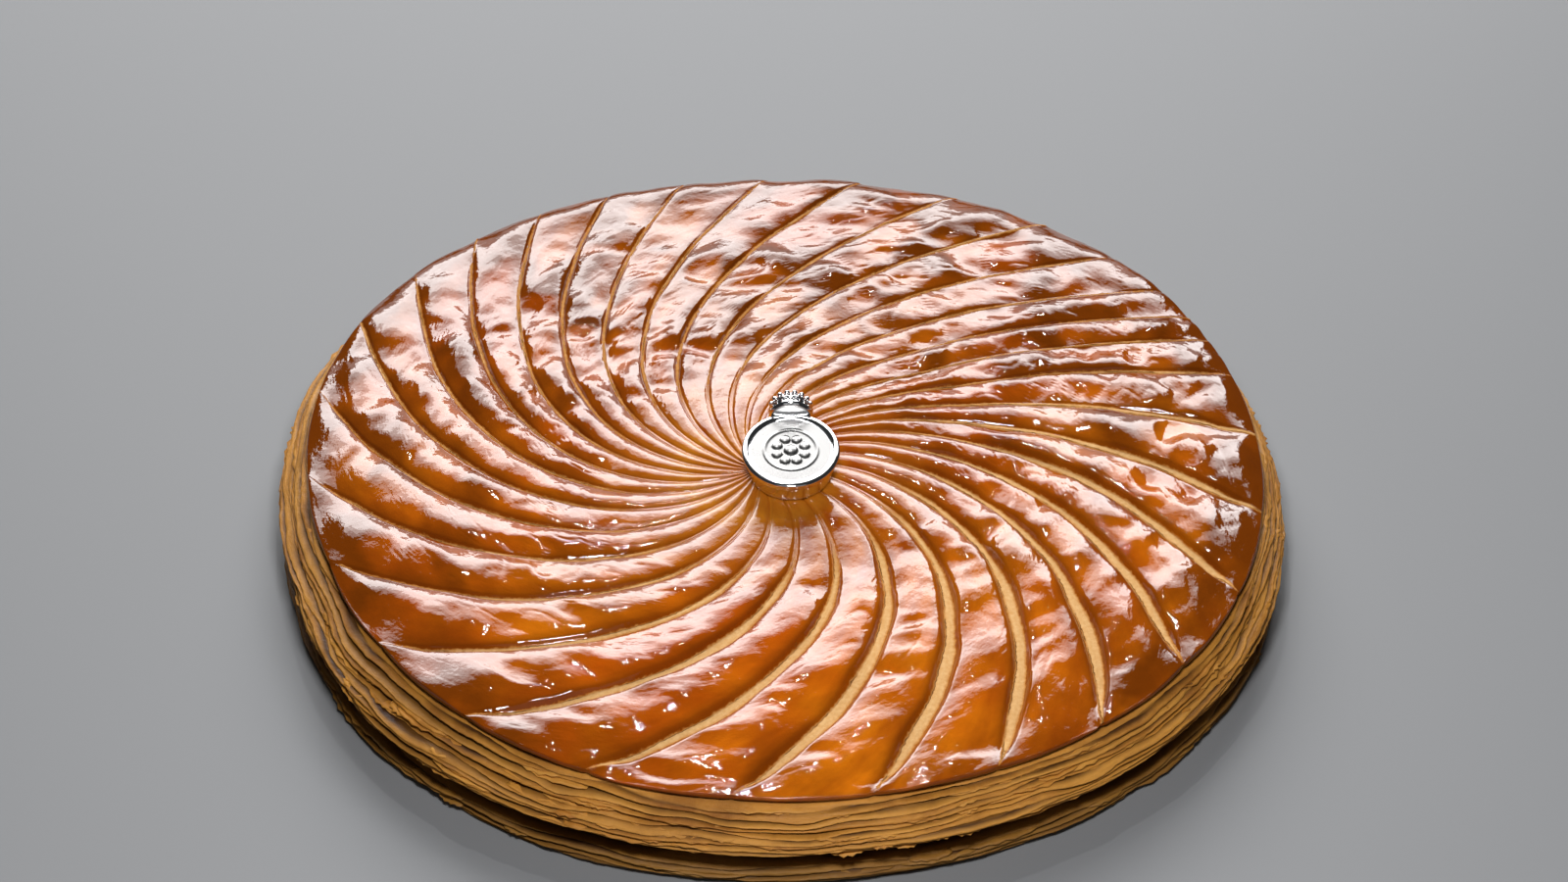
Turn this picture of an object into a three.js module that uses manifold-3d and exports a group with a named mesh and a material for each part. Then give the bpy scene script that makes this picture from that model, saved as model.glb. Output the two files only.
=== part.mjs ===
import * as THREE from "three";
import { mergeVertices } from "three/addons/utils/BufferGeometryUtils.js";
import Module from "manifold-3d";

// A baked puff pastry galette with a swirl of scored cuts on its glazed lid, and a metal charm lying on it.
// Lengths are in millimetres and angles in degrees. The origin is the centre of the flat underside, +Z is up.

// Lid, the glazed upper half
const LID_RADIUS = 120.4;
const LID_WAVES = [
  { count: 2, size: 1.33, phase: -91 },
  { count: 3, size: 1.29, phase: 86 },
  { count: 4, size: 1.09, phase: -146 },
];
const LID_HEIGHT = 25.2;
const LID_EDGE_DROP = 2.2;
const LID_EDGE_ROUND = 11;
const LID_EDGE_SHARPNESS = 3.5;
const DOME_HEIGHT = 3;
const DOME_RADIUS = 30;
const DOME_CENTRE_Y = 14;

// Swirl of cuts, placed about its own eye, which lies a little off the middle
const CUT_COUNT = 29;
const EYE_X = -6.5;
const EYE_Y = -6.8;
const EYE_HEIGHT = 24.2;
const FIRST_CUT_ANGLE = 114.9;
const SPACING_WAVES = [
  { count: 1, size: 17.5, phase: -129.7 },
  { count: 2, size: 6.6, phase: 48.1 },
];
const TWIST_RADIUS = 60;
const TWIST_TERMS = [-39.8, 5.4, 1.25];
const TWIST_WAVE = 5.4;
const TWIST_WAVE_PHASE = -26.6;
const STRAIGHT_SHARE = 0.463;
const STRAIGHT_PLACE = 0.244;
const STRAIGHT_WIDTH = 0.094;
const STRAIGHT_INNER_SHARE = 0.6;
const CUT_DEPTH = 2.6;
const CUT_INNER_DEPTH_SHARE = 0.35;
const CUT_FULL_DEPTH_AT = 70;
const CUT_END_LENGTH = 9;
const CUT_NOTCH = 0.9;
const RIDGE_COLUMNS = [
  { place: 0.055, rise: 0 },
  { place: 0.16, rise: 0.82 },
  { place: 0.5, rise: 1 },
  { place: 0.84, rise: 0.82 },
  { place: 0.945, rise: 0 },
];
const RIDGE_UNEVENNESS = 0.45;
const EYE_RING_RADIUS = 9;
const FIRST_RING_RADIUS = 15;
const RING_COUNT = 15;
const LAST_EVEN_RING = 0.915;
const EDGE_RINGS = [0.955, 0.983];

// Flaky side below the lid, wider where its layers have sprung open at the front left
const FLANGE_WIDTH = 6.3;
const FLANGE_LEAN = 2.9;
const FLANGE_LEAN_ANGLE = 250;
const OPEN_LAYERS_WIDTH = 2.2;
const OPEN_LAYERS_ANGLE = 222;
const OPEN_LAYERS_SPREAD = 22;
const LAYER_WAVE = 0.7;
const LAYER_HEIGHT_WAVE = 0.42;
const GAP_SHARE = 0.45;
// Each row goes once round the side: share of the flange outwards, height, unevenness, and how far
// it draws in where the layers gape or a cut ends
const SIDE_ROWS = [
  { out: 0.04, height: 22.4, wave: 0, gap: 0, notch: 1 },
  { out: -0.02, height: 20.6, wave: 0, gap: 0, notch: 1 },
  { out: -0.2, height: 19.4, wave: 0.3, gap: 0 },
  { out: 0.28, height: 18.3, wave: 0.6, gap: 0 },
  { out: 0.26, height: 17.2, wave: 0.8, gap: 0 },
  { out: 0.62, height: 15.8, wave: 1, gap: 0 },
  { out: 0.56, height: 14.7, wave: 1, gap: 0 },
  { out: 0.92, height: 13.3, wave: 1, gap: 0 },
  { out: 1, height: 11.6, wave: 1, gap: 0 },
  { out: 0.94, height: 10.2, wave: 0.9, gap: 0.1 },
  { out: 0.82, height: 8.8, wave: 0.7, gap: 1 },
  { out: 0.82, height: 5.2, wave: 0.7, gap: 1 },
  { out: 0.9, height: 3.9, wave: 0.7, gap: 0.2 },
  { out: 0.92, height: 2, wave: 0.4, gap: 0 },
  { out: 0.72, height: 0, wave: 0, gap: 0 },
];

// Charm, a shallow oval medallion with a small crown at its back edge
const CHARM_X = 1.7;
const CHARM_Y = -7.1;
const CHARM_REST_HEIGHT = 26.3;
const CHARM_TILT = 5;
const MEDAL_RADIUS = 12.25;
const MEDAL_LENGTH_SCALE = 1.07;
const MEDAL_FOOT_RADIUS = 10.4;
const MEDAL_THICKNESS = 7;
const MEDAL_RIM_WIDTH = 1.3;
const MEDAL_FIELD_DEPTH = 0.8;
const MEDAL_SIDES = 48;
const CROWN_RADIUS = 5.7;
const CROWN_LENGTH = 7;
const CROWN_SIDES = 24;
const PEARL_COUNT = 8;
const PEARL_RADIUS = 1.25;
const PEARL_FLARE = 0.5;

const radians = THREE.MathUtils.degToRad;

function waves(list, angle) {
  let sum = 0;
  for (const wave of list) {
    sum += wave.size * Math.cos(wave.count * angle + radians(wave.phase));
  }
  return sum;
}

// A smooth uneven curve round a circle, between about -1 and 1, the same for the same seed
function unevenness(angle, seed) {
  const slow = Math.sin(3 * angle + 2.1 * seed) + 0.8 * Math.sin(5 * angle + 3.7 * seed + 1);
  const quick = 0.6 * Math.sin(11 * angle + 5.3 * seed + 2) + 0.4 * Math.sin(19 * angle + 7.9 * seed);
  return (slow + quick) / 2.8;
}

function lidRadius(angle) {
  let radius = LID_RADIUS;
  for (const wave of LID_WAVES) {
    radius += wave.size * Math.cos(wave.count * angle - radians(wave.phase));
  }
  return radius;
}

// How far the side's layers have opened, from 0 to 1
function openness(angle) {
  const turned = angle - radians(OPEN_LAYERS_ANGLE) + Math.PI;
  const fromOpen = THREE.MathUtils.euclideanModulo(turned, 2 * Math.PI) - Math.PI;
  return Math.exp(-((fromOpen / radians(OPEN_LAYERS_SPREAD)) ** 2));
}

function flangeWidth(angle) {
  const lean = FLANGE_LEAN * Math.cos(angle - radians(FLANGE_LEAN_ANGLE));
  return FLANGE_WIDTH + lean + OPEN_LAYERS_WIDTH * openness(angle);
}

// Direction from the eye of a line through the swirl: turn runs from 0 to 1 over all cuts
function swirlAngle(turn, distance) {
  const around = 2 * Math.PI * turn;
  const spaced = FIRST_CUT_ANGLE - 360 * turn + waves(SPACING_WAVES, around);
  const reach = (distance - TWIST_RADIUS) / TWIST_RADIUS;
  const [first, second, third] = TWIST_TERMS;
  const turned = first * reach + second * reach ** 2 + third * reach ** 3;
  const fromStraight = turn - Math.floor(turn) - STRAIGHT_PLACE;
  const straight = STRAIGHT_SHARE * Math.exp(-((fromStraight / STRAIGHT_WIDTH) ** 2));
  const innerShare = reach < 0 ? STRAIGHT_INNER_SHARE : 1;
  const sway = TWIST_WAVE * reach * Math.cos(around + radians(TWIST_WAVE_PHASE));
  return radians(spaced + turned * (1 - straight * innerShare) + sway);
}

function swirlPoint(turn, distance) {
  const angle = swirlAngle(turn, distance);
  return new THREE.Vector2(EYE_X + distance * Math.cos(angle), EYE_Y + distance * Math.sin(angle));
}

// Distance from the eye at which a swirl line meets the lid's outline
function reachOfTurn(turn) {
  let distance = LID_RADIUS;
  for (let step = 0; step < 20; step += 1) {
    const point = swirlPoint(turn, distance);
    distance += lidRadius(point.angle()) - point.length();
  }
  return distance;
}

function lidHeight(point, distance, column) {
  const fromDome = Math.hypot(point.x, point.y - DOME_CENTRE_Y) / DOME_RADIUS;
  const crest = LID_HEIGHT + DOME_HEIGHT * Math.exp(-(fromDome ** 2));
  const deepening = THREE.MathUtils.smoothstep(distance, 0, CUT_FULL_DEPTH_AT);
  const toEdge = column.reach - distance;
  const ending = THREE.MathUtils.smoothstep(toEdge, 0, CUT_END_LENGTH);
  const depth = CUT_DEPTH * THREE.MathUtils.lerp(CUT_INNER_DEPTH_SHARE, 1, deepening) * ending;
  const edge = Math.max(0, 1 - toEdge / LID_EDGE_ROUND);
  const uneven = RIDGE_UNEVENNESS * unevenness(distance / 30, column.cut) * deepening * column.rise;
  return crest - depth * (1 - column.rise) - LID_EDGE_DROP * edge ** LID_EDGE_SHARPNESS + uneven;
}

function lidColumns() {
  const columns = [];
  for (let cut = 0; cut < CUT_COUNT; cut += 1) {
    for (const column of RIDGE_COLUMNS) {
      const turn = (cut + column.place) / CUT_COUNT;
      columns.push({ ...column, cut, turn, reach: reachOfTurn(turn) });
    }
  }
  return columns;
}

function eyeRing() {
  const ring = [];
  for (let cut = 0; cut < CUT_COUNT; cut += 1) {
    const point = swirlPoint((cut + 0.5) / CUT_COUNT, EYE_RING_RADIUS);
    ring.push(new THREE.Vector3(point.x, point.y, EYE_HEIGHT));
  }
  return ring;
}

function lidRings(columns) {
  const rings = [];
  for (let ring = 0; ring < RING_COUNT + EDGE_RINGS.length; ring += 1) {
    rings.push(columns.map((column) => {
      const inner = FIRST_RING_RADIUS / column.reach;
      const share = ring < RING_COUNT
        ? THREE.MathUtils.lerp(inner, LAST_EVEN_RING, ring / (RING_COUNT - 1))
        : EDGE_RINGS[ring - RING_COUNT];
      const distance = share * column.reach;
      const point = swirlPoint(column.turn, distance);
      return new THREE.Vector3(point.x, point.y, lidHeight(point, distance, column));
    }));
  }
  return rings;
}

function sideRings(columns) {
  return SIDE_ROWS.map((row, index) => columns.map((column) => {
    const angle = swirlPoint(column.turn, column.reach).angle();
    const notch = CUT_NOTCH * (row.notch ?? 0) * (1 - column.rise);
    const uneven = LAYER_WAVE * row.wave * unevenness(angle, index);
    const gap = GAP_SHARE * row.gap * (0.5 + 0.5 * Math.cos(angle - radians(FLANGE_LEAN_ANGLE)));
    const radius = lidRadius(angle) - notch + (row.out - gap) * flangeWidth(angle) + uneven;
    const height = row.height + LAYER_HEIGHT_WAVE * row.wave * unevenness(angle, index / 2 + 4);
    return new THREE.Vector3(radius * Math.cos(angle), radius * Math.sin(angle), height);
  }));
}

// Builds a closed surface from rings of points, numbered as they are added
class SolidBuilder {
  constructor() {
    this.positions = [];
    this.triangles = [];
  }

  addPoint(point) {
    this.positions.push(point.x, point.y, point.z);
    return this.positions.length / 3 - 1;
  }

  addRing(points) {
    return points.map((point) => this.addPoint(point));
  }

  joinRings(inner, outer) {
    for (let i = 0; i < inner.length; i += 1) {
      const next = (i + 1) % inner.length;
      this.triangles.push(inner[i], inner[next], outer[next]);
      this.triangles.push(inner[i], outer[next], outer[i]);
    }
  }

  // The coarse ring has one point for each group of points on the fine ring
  joinGroups(coarse, fine) {
    const group = fine.length / coarse.length;
    for (let i = 0; i < fine.length; i += 1) {
      const owner = Math.floor(i / group);
      const next = (i + 1) % fine.length;
      this.triangles.push(coarse[owner], fine[next], fine[i]);
      if (next % group === 0) {
        this.triangles.push(coarse[owner], coarse[(owner + 1) % coarse.length], fine[next]);
      }
    }
  }

  closeRing(ring, centre, facesUp) {
    const middle = this.addPoint(centre);
    for (let i = 0; i < ring.length; i += 1) {
      const next = (i + 1) % ring.length;
      const pair = facesUp ? [ring[next], ring[i]] : [ring[i], ring[next]];
      this.triangles.push(middle, ...pair);
    }
  }

  geometry() {
    const geometry = new THREE.BufferGeometry();
    geometry.setAttribute("position", new THREE.Float32BufferAttribute(this.positions, 3));
    geometry.setIndex(this.triangles);
    geometry.computeVertexNormals();
    return geometry;
  }
}

// Cut numbers run clockwise seen from above, so rings do too
function galetteGeometry() {
  const columns = lidColumns();
  const builder = new SolidBuilder();
  const eye = builder.addRing(eyeRing());
  const rings = [...lidRings(columns), ...sideRings(columns)].map((ring) => builder.addRing(ring));
  builder.closeRing(eye, new THREE.Vector3(EYE_X, EYE_Y, EYE_HEIGHT), true);
  builder.joinGroups(eye, rings[0]);
  for (let i = 1; i < rings.length; i += 1) {
    builder.joinRings(rings[i - 1], rings[i]);
  }
  builder.closeRing(rings.at(-1), new THREE.Vector3(0, 0, 0), false);
  return builder.geometry();
}

function medalGeometry() {
  const field = MEDAL_THICKNESS - MEDAL_FIELD_DEPTH;
  const profile = [
    [0, 0],
    [MEDAL_FOOT_RADIUS - 0.8, 0],
    [MEDAL_FOOT_RADIUS, 0.8],
    [MEDAL_RADIUS - 0.25, MEDAL_THICKNESS - 1.6],
    [MEDAL_RADIUS, MEDAL_THICKNESS - 0.7],
    [MEDAL_RADIUS - 0.35, MEDAL_THICKNESS],
    [MEDAL_RADIUS - MEDAL_RIM_WIDTH, MEDAL_THICKNESS - 0.1],
    [MEDAL_RADIUS - MEDAL_RIM_WIDTH - 0.5, field],
    [0, field],
  ].map(([radius, height]) => new THREE.Vector2(radius, height));
  const geometry = new THREE.LatheGeometry(profile, MEDAL_SIDES);
  geometry.rotateX(Math.PI / 2);
  geometry.scale(1, MEDAL_LENGTH_SCALE, 1);
  return geometry;
}

// Turned about an axis that runs backwards, level with the medallion's foot
function crownGeometries() {
  const start = MEDAL_RADIUS * MEDAL_LENGTH_SCALE - 1.2;
  const profile = [
    [0, 0],
    [CROWN_RADIUS - 1.1, 0],
    [CROWN_RADIUS - 0.3, 0.5],
    [CROWN_RADIUS, 1.5],
    [CROWN_RADIUS - 0.2, 2.6],
    [CROWN_RADIUS - 0.9, 3.2],
    [CROWN_RADIUS - 0.7, 4.6],
    [CROWN_RADIUS - 1.4, 5.6],
    [0, CROWN_LENGTH - 1],
  ].map(([radius, along]) => new THREE.Vector2(radius, along));
  const band = new THREE.LatheGeometry(profile, CROWN_SIDES);
  band.translate(0, start, CROWN_RADIUS);
  const pearls = [];
  for (let i = 0; i < PEARL_COUNT; i += 1) {
    const angle = (2 * Math.PI * (i + 0.5)) / PEARL_COUNT;
    const pearl = new THREE.IcosahedronGeometry(PEARL_RADIUS, 1);
    const reach = CROWN_RADIUS - PEARL_RADIUS + PEARL_FLARE;
    const along = start + CROWN_LENGTH - 1.6;
    pearl.translate(reach * Math.cos(angle), along, CROWN_RADIUS + reach * Math.sin(angle));
    pearls.push(pearl);
  }
  return [band, ...pearls];
}

function toManifold(wasm, geometry) {
  const bare = geometry.clone();
  bare.deleteAttribute("normal");
  bare.deleteAttribute("uv");
  const merged = mergeVertices(bare, 1e-4);
  const vertProperties = new Float32Array(merged.attributes.position.array);
  const triVerts = new Uint32Array(merged.index.array);
  return new wasm.Manifold(new wasm.Mesh({ numProp: 3, vertProperties, triVerts }));
}

function fromManifold(solid) {
  const mesh = solid.getMesh();
  const geometry = new THREE.BufferGeometry();
  geometry.setAttribute("position", new THREE.BufferAttribute(new Float32Array(mesh.vertProperties), 3));
  geometry.setIndex(new THREE.BufferAttribute(new Uint32Array(mesh.triVerts), 1));
  geometry.computeVertexNormals();
  return geometry;
}

function charmGeometry(wasm) {
  let solid = toManifold(wasm, medalGeometry());
  for (const piece of crownGeometries()) {
    solid = solid.add(toManifold(wasm, piece));
  }
  return fromManifold(solid);
}

function galetteMesh() {
  const crust = new THREE.MeshStandardMaterial({ color: 0xa85a18, roughness: 0.3, metalness: 0 });
  const mesh = new THREE.Mesh(galetteGeometry(), crust);
  mesh.name = "galette";
  return mesh;
}

// The charm leans towards the front, with the front of its foot lowest
function charmMesh(wasm) {
  const silver = new THREE.MeshStandardMaterial({ color: 0xe8e8ea, roughness: 0.08, metalness: 1 });
  const mesh = new THREE.Mesh(charmGeometry(wasm), silver);
  mesh.name = "charm";
  const lift = MEDAL_FOOT_RADIUS * MEDAL_LENGTH_SCALE * Math.sin(radians(CHARM_TILT));
  mesh.position.set(CHARM_X, CHARM_Y, CHARM_REST_HEIGHT + lift);
  mesh.rotation.x = radians(CHARM_TILT);
  return mesh;
}

const wasm = await Module();
wasm.setup();
const group = new THREE.Group();
group.add(galetteMesh(), charmMesh(wasm));

export default group;
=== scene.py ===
import math

import bpy
import numpy as np
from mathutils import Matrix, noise


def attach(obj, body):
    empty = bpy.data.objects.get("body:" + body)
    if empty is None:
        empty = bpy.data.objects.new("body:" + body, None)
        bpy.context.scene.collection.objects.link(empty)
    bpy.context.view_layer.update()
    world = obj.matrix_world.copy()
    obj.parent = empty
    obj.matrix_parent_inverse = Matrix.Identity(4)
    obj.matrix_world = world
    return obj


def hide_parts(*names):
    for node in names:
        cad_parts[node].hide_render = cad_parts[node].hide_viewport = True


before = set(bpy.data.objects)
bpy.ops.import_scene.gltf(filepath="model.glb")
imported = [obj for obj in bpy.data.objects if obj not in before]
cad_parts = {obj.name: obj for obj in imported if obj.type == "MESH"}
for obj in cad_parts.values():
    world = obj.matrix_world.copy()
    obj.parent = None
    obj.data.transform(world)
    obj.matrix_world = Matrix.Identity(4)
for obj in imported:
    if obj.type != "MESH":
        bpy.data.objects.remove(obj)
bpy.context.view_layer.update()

# A baked puff pastry galette with a swirl of scored cuts on its glazed lid, and a silver charm on it.
# Shapes are worked out in millimetres and degrees, and made in metres. Rows run outwards from the
# swirl's eye, over the lid's lip and down the flaky side; columns run clockwise seen from above.
MM = 0.001

# Lid outline and crest
LID_RADIUS = 120.4
LID_WAVES = [(2, 1.33, -91), (3, 1.29, 86), (4, 1.09, -146)]
LID_HEIGHT = 25.2
LID_EDGE_DROP = 2.2
LID_EDGE_ROUND = 11
LID_EDGE_SHARPNESS = 3.5
FRONT_EDGE_ROUND = 22
FRONT_EDGE_SHARPNESS = 1.7
DOME_HEIGHT = 3
DOME_RADIUS = 30
DOME_CENTRE_Y = 14

# Swirl of cuts about its eye
CUT_COUNT = 29
EYE_X = -6.5
EYE_Y = -6.8
FIRST_CUT_ANGLE = 114.9
SPACING_WAVES = [(1, 17.5, -129.7), (2, 6.6, 48.1)]
TWIST_RADIUS = 60
TWIST_TERMS = (-39.8, 5.4, 1.25)
TWIST_WAVE = 5.4
TWIST_WAVE_PHASE = -26.6
STRAIGHT_SHARE = 0.463
STRAIGHT_PLACE = 0.244
STRAIGHT_WIDTH = 0.094
STRAIGHT_INNER_SHARE = 0.6
CUT_DEPTH = 2.6
CUT_INNER_DEPTH_SHARE = 0.35
CUT_FULL_DEPTH_AT = 70
CUT_END_LENGTH = 9
CUT_NOTCH = 0.9
RIDGE_UNEVENNESS = 0.45

# Cut floors, narrow and shallow at the back and gaping at the front right, and the ridges between them
GAPING_ANGLE = 300
FLOOR_HALF_NARROW = 0.34
FLOOR_HALF_GAPING = 1.5
FLOOR_HALF_SHARE = 0.085
FLOOR_TAPER_LENGTH = 14
FLOOR_UNEVENNESS = 0.3
FLOOR_LENGTH = 9
FLOOR_CROWN = 0.22
WANDER_SHARE = 0.035
WANDER_LENGTH = 11
SHALLOW_SHARE = 0.38
PUFFED_SHARE = 0.85
PUFFED_ANGLE = 205
SHOULDER_NARROW = 0.7
SHOULDER_GAPING = 1.6
SHOULDER_SHARE_NARROW = 0.3
SHOULDER_SHARE_GAPING = 0.6
SHOULDER_ROUNDNESS = 2.5
PILLOW_ROUNDNESS = 2.1

# Relief of the ridges: sizes are heights, lengths run along the swirl and widths across it
RELIEF_FROM = 12
RELIEF_FULL = 60
BEND_SIZE = 4
BEND_LENGTH = 18
FOLD_SKEW = 0.35
PUFF_SIZE = 0.75
PUFF_LENGTH = 15
FOLD_SIZE = 0.42
FOLD_LENGTH = 5
FOLD_WIDTH = 10
RIPPLE_SIZE = 0.09
RIPPLE_LENGTH = 1.7
RIPPLE_WIDTH = 5
DENT_SIZE = 0.38
DENT_LENGTH = 6.5
HOLLOW_DEPTH = 0.7
HOLLOW_LENGTH = 8
HOLLOW_WIDTH = 13
CREASE_DEPTH = 0.12
CREASE_WIDTH = 0.1
CREASE_LENGTH = 5
CREASE_REACH = 9
LEAN_SIZE = 1.1
LEAN_LENGTH = 24
PATCH_LENGTH = 25
BACK_RELIEF = 1.6
SWELL = 0.8
SWELL_FROM = 30
DROOP = 2.3
DROOP_FROM = 72
DROOP_TO = 120
PALE_FROM = 22
PALE_FULL = 48
BROWNEST_ANGLE = 100
FRONT_BROWNING = 0.05
RIM_BROWNING = 0.7

# Grid of the lid
COLUMNS_PER_CUT = 34
COLUMN_CROWDING = 0.35
EYE_START = 3
INNER_SHARE = 0.47
INNER_ROWS = 56
OUTER_ROWS = 75
EDGE_SHARE = 0.92
EDGE_ROWS = 18

# Lip of the lid: how far out of the lid's outline each row lies, and its height
LIP_UNEVENNESS = 0.35
LIP_ROWS = [
    (0.22, 22.75),
    (0.38, 22.3),
    (0.42, 21.8),
    (0.35, 21.2),
    (0.1, 20.6),
    (-0.4, 20.0),
    (-1.1, 19.5),
]

# Flaky side: the width of the flange outside the lid's outline, and for each height the share of that
# width that a row reaches over and the share of the gap that is taken from it again
FLANGE_WIDTH = 6.3
FLANGE_LEAN = 2.9
FLANGE_LEAN_ANGLE = 250
OPEN_LAYERS_WIDTH = 2.2
OPEN_LAYERS_ANGLE = 222
OPEN_LAYERS_SPREAD = 22
GAP_SHARE = 0.45
SIDE_HEIGHTS = (0, 2, 3.9, 5.2, 8.8, 10.2, 11.6, 13.3, 14.7, 15.8, 17.2, 18.3, 19.4)
SIDE_OUTS = (0.72, 0.92, 0.9, 0.82, 0.82, 0.94, 1, 0.92, 0.62, 0.58, 0.34, 0.24, -0.1)
SIDE_GAPS = (0, 0, 0.2, 1, 1, 0.1, 0, 0, 0, 0, 0, 0, 0)

# Bunches of layers: the upper one, the recessed one in the gap and the lower one, with noise seeds
UPPER_TOP = 19.4
UPPER_BOTTOM = 9.4
UPPER_LAYERS = 10
UPPER_SEED = 100.0
GAP_BOTTOM = 4.9
GAP_LAYERS = 3
GAP_SEED = 200.0
GAP_RECESS = 1.6
GAP_SHADE = 0.8
LOWER_BOTTOM = 0.35
LOWER_LAYERS = 4
LOWER_SEED = 300.0
BUNCH_WAVE = 0.5
# Across one layer: share of its thickness from the top, and how deep the row lies in the crevice
LAYER_SECTION = [
    (0.0, 1.0),
    (0.08, 0.7),
    (0.2, 0.32),
    (0.34, 0.08),
    (0.5, 0.0),
    (0.68, 0.08),
    (0.82, 0.3),
    (0.93, 0.65),
]
CREVICE_DEPTH = 1.1
LAYER_REACH_UNEVENNESS = 0.8
LAYER_THICKNESS_UNEVENNESS = 0.84
LAYER_SWAY = 0.45
# Layers that gape where the stack has sprung open, and how much of a layer the gap takes
GAPING_LAYERS = (2, 4, 7)
GAPE_SHARE = 0.6
GAPE_DEPTH = 2.6
GAPE_WEIGHT = 1.5
GAPE_BESIDE_ANGLE = 35
GAPE_BESIDE_SHARE = 0.35

# Base: its rings as shares of the outermost one, and the height of that one
BASE_SHARES = (1.0, 0.985, 0.93, 0.8, 0.6, 0.35)
BASE_EDGE_HEIGHT = 0.15
BASE_SHADE = 0.15
BASE_TONE = 400

# Loose flakes on the side; the root is how deep each one starts inside it
FLAKE_COUNT = 360
FLAKE_SEED = 11
FLAKE_HEIGHTS = [(10.2, 18.4), (1.2, 4.2)]
FLAKE_ROOT = 2.6
FLAKE_THICKNESS = 0.14
FLAKE_STEPS = 9
FLAKE_ACROSS = 4
FLAKE_TONE = 500.0

# Charm
CHARM_X = 1.7
CHARM_Y = -7.1
CHARM_REST_HEIGHT = 26.3
CHARM_TILT = 5
MEDAL_RADIUS = 12.25
MEDAL_LENGTH_SCALE = 1.07
MEDAL_FOOT_RADIUS = 10.4
MEDAL_THICKNESS = 7
MEDAL_SIDES = 168
FIELD_HEIGHT = 6.7
FIELD_ROWS = 44
FIELD_DISH = 0.05
PETAL_COUNT = 8
PETAL_REACH = 3.7
PETAL_RADIUS = 1.35
PETAL_HEIGHT = 0.35
BUTTON_RADIUS = 1.7
BUTTON_HEIGHT = 0.45
RING_RADIUS = 6.6
RING_HALF_WIDTH = 0.45
RING_HEIGHT = 0.16
CROWN_RADIUS = 5.7
CROWN_LENGTH = 7
CROWN_SIDES = 72
BEAD_COUNT = 22
BEAD_RADIUS = 0.36
POINT_COUNT = 16
ARCH_STEPS = 9
PEARL_RADIUS = 0.75
LEAF_RADIUS = 0.45

# Colours in linear light: glaze, pastry in the cuts, crust, silver and studio floor
DEEP_ORANGE = (0.52, 0.09, 0.002, 1)
ORANGE = (0.7, 0.18, 0.004, 1)
GOLDEN_MIDDLE = (0.6, 0.24, 0.018, 1)
AMBER_STREAK = (0.34, 0.056, 0.002, 1)
# Pooled glaze beside the cuts, darkened further as painted shade
POOLED_GLAZE_AND_SHADE = (0.15, 0.036, 0.001, 1)
BROWNED_GLAZE = (0.18, 0.037, 0.001, 1)
BISCUIT = (0.66, 0.34, 0.11, 1)
PALE_BISCUIT = (0.84, 0.54, 0.25, 1)
CUT_BORDER = (0.5, 0.19, 0.035, 1)
# Painted shadow: the thin dark line along one side of each cut
CREVICE_SHADOW_BROWN = (0.1, 0.035, 0.006, 1)
CRUST_BROWN = (0.46, 0.165, 0.018, 1)
CRUST_GOLDEN = (0.76, 0.34, 0.055, 1)
CRUST_BAKED = (0.3, 0.095, 0.01, 1)
CRUST_PALE = (0.86, 0.43, 0.085, 1)
# Painted shade low on the side
CRUST_LOW_SHADE = (0.19, 0.095, 0.018, 1)
# Painted shade in the side's crevices
CREVICE_SHADE_BROWN = (0.05, 0.016, 0.003, 1)
SILVER = (0.86, 0.86, 0.87, 1)
BRIGHT_SILVER = (0.95, 0.95, 0.955, 1)
SATIN_SILVER = (0.3, 0.295, 0.29, 1)
FLOOR_GREY = (0.23, 0.235, 0.245, 1)
LIGHT_FLOOR_GREY = (0.25, 0.255, 0.265, 1)

# Softboxes: azimuth, elevation, distance, width, height and watts; azimuth 0 is straight behind the
# galette and 90 to its right
SOFTBOXES = {
    "softbox_low": (-2, 14.5, 1.2, 0.95, 0.25, 0.8),
    "softbox_back": (-2, 30, 1.2, 1.0, 0.4, 12),
    "softbox_middle": (-2, 43, 1.2, 1.0, 0.147, 2.4),
    "softbox_upper": (-2, 49.25, 1.2, 0.95, 0.115, 0.95),
    "glint": (-4, 61, 1.2, 0.025, 0.025, 1.2),
    "key_front": (179, 55, 0.6, 0.1, 0.1, 1.9),
    "front_fill": (178, 30, 1.5, 1.6, 0.7, 0.85),
}

# Light from all round, and how many metres the floor reaches each way
WORLD_COLOUR = (0.8, 0.82, 0.86, 1)
WORLD_STRENGTH = 0.03
FLOOR_HALF_SIZE = 4.0

# Camera: lens and sensor in millimetres, elevation in degrees, and where it looks in metres
CAMERA_LENS = 135
CAMERA_SENSOR = 36
CAMERA_ELEVATION = 39.38
CAMERA_DISTANCE = 1.516
CAMERA_TARGET_Y = 0.0371


def smoothstep(value, low, high):
    share = np.clip((value - low) / (high - low), 0, 1)
    return share * share * (3 - 2 * share)


def lerp(low, high, share):
    return low + (high - low) * share


def noise_field(x, y, z):
    """Smooth noise, about -1 to 1, at each point of three arrays."""
    x, y, z = np.broadcast_arrays(x, y, z)
    values = [noise.noise(point) for point in zip(x.flat, y.flat, z.flat)]
    return np.array(values).reshape(x.shape)


def ring_noise(angle, busyness, seed):
    """Smooth noise round the galette that meets its own start; the busier, the shorter its waves."""
    return noise_field(busyness * np.cos(angle), busyness * np.sin(angle), seed)


def unevenness(angle, seed):
    slow = np.sin(3 * angle + 2.1 * seed) + 0.8 * np.sin(5 * angle + 3.7 * seed + 1)
    quick = 0.6 * np.sin(11 * angle + 5.3 * seed + 2) + 0.4 * np.sin(19 * angle + 7.9 * seed)
    return (slow + quick) / 2.8


def lid_radius(angle):
    radius = np.full_like(angle, LID_RADIUS)
    for count, size, phase in LID_WAVES:
        radius += size * np.cos(count * angle - math.radians(phase))
    return radius


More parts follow.
